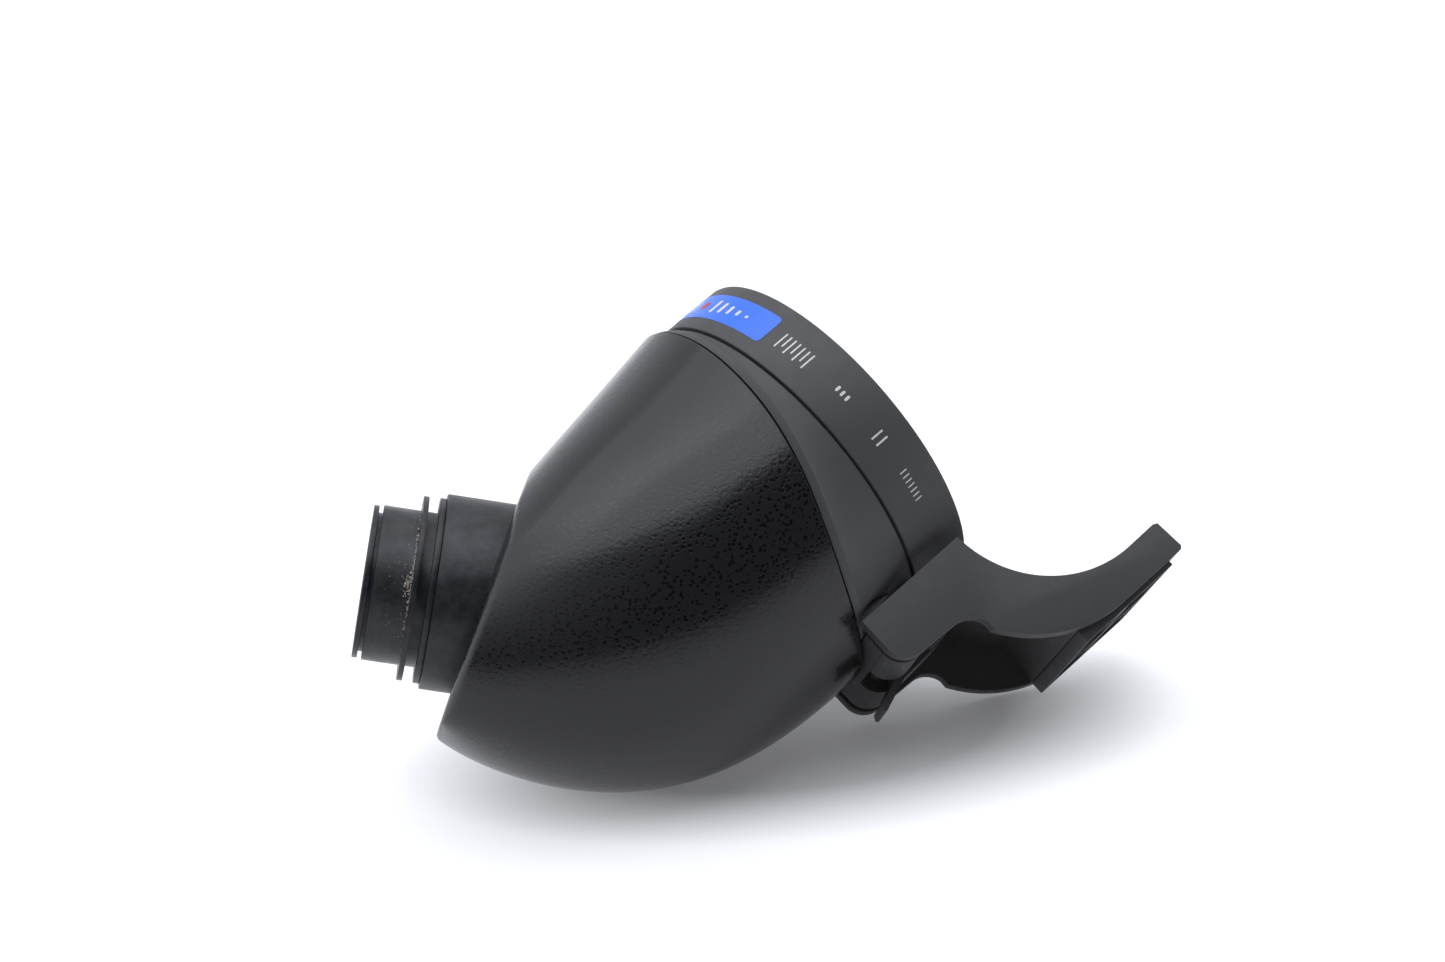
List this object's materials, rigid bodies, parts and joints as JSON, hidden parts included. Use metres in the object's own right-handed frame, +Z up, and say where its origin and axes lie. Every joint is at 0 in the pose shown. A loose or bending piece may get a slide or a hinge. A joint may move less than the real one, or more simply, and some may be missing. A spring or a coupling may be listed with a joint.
{
  "type": "angled lens-to-scope viewing adapter",
  "caption": "Angled eyepiece and prism unit that turns a camera lens into a spotting scope, with a bayonet ring, domed shell, stepped eyepiece barrel and folding support arm.",
  "frame": {"origin": "centre of the bounding box, at the table the adapter lies on", "axes": "+Z up from the table, +X from the eyepiece towards the support arm, +Y towards the mount face's far side"},
  "size_m": [0.1452, 0.0854, 0.0805],
  "materials": {
    "paint": "black orange-peel paint",
    "satin": "black satin anodising",
    "plastic": "fine moulded matte",
    "steel": "plain",
    "chrome": "satin chrome",
    "flock": "dead black",
    "glass": "coated optical glass",
    "rubber": "matte",
    "label": "printed blue film"
  },
  "bodies": {
    "body": {"mount_ring": "satin", "ring_label": "label", "bayonet_plate": "chrome", "mount_screw_1": "steel", "mount_screw_2": "steel", "mount_screw_3": "steel", "mount_screw_4": "steel", "lock_spring": "steel", "front_housing": "paint", "rear_shell": "paint", "light_baffle": "flock", "prism_frame": "plastic", "frame_screw_1": "steel", "frame_screw_2": "steel", "frame_screw_3": "steel", "relay_cell": "satin", "relay_lens_front": "glass", "relay_spacer": "satin", "relay_lens_rear": "glass", "roof_prism": "glass", "prism_clamp": "steel", "eyepiece_base": "satin", "eyepiece_barrel": "satin", "field_stop": "flock", "eye_lens_field": "glass", "eye_spacer_inner": "satin", "eye_lens_middle": "glass", "eye_spacer_outer": "satin", "eye_lens_outer": "glass", "eye_retainer": "satin", "hinge_bracket": "plastic", "pawl_pin": "steel", "pawl_spring": "steel"},
    "arm": {"support_arm": "plastic", "foot_plate": "rubber", "hinge_pin": "steel"},
    "pawl": {"arm_pawl": "plastic"},
    "lock": {"lock_pin": "steel"},
    "button": {"release_button": "plastic"}
  },
  "joints": [
    {"name": "arm_hinge", "type": "hinge", "parent": "body", "child": "arm", "pos_m": [0.01941, -0.01178, 0.01698], "axis": [-0.2033, 0.7454, -0.6348], "range_deg": [0, 95]},
    {"name": "pawl_pivot", "type": "hinge", "parent": "body", "child": "pawl", "pos_m": [0.02726, -0.00829, 0.01855], "axis": [0.2033, -0.7454, 0.6348], "range_deg": [0, 10], "stiffness_Nm_per_rad": 0.03, "springref_deg": -17.19},
    {"name": "button_press", "type": "slide", "parent": "body", "child": "button", "axis": [0.403, -0.8386, 0.3664], "range_m": [0, 0.0013], "stiffness_N_per_m": 300, "springref_m": -0.002},
    {"name": "lock_retract", "type": "slide", "parent": "body", "child": "lock", "axis": [-0.758, -0.5302, -0.3799], "range_m": [0, 0.0018], "stiffness_N_per_m": 300, "springref_m": -0.002, "deforming": ["lock_spring"]}
  ],
  "couplings": [
    {"joint": "lock_retract", "follows": "button_press", "ratio": 1.3}
  ]
}
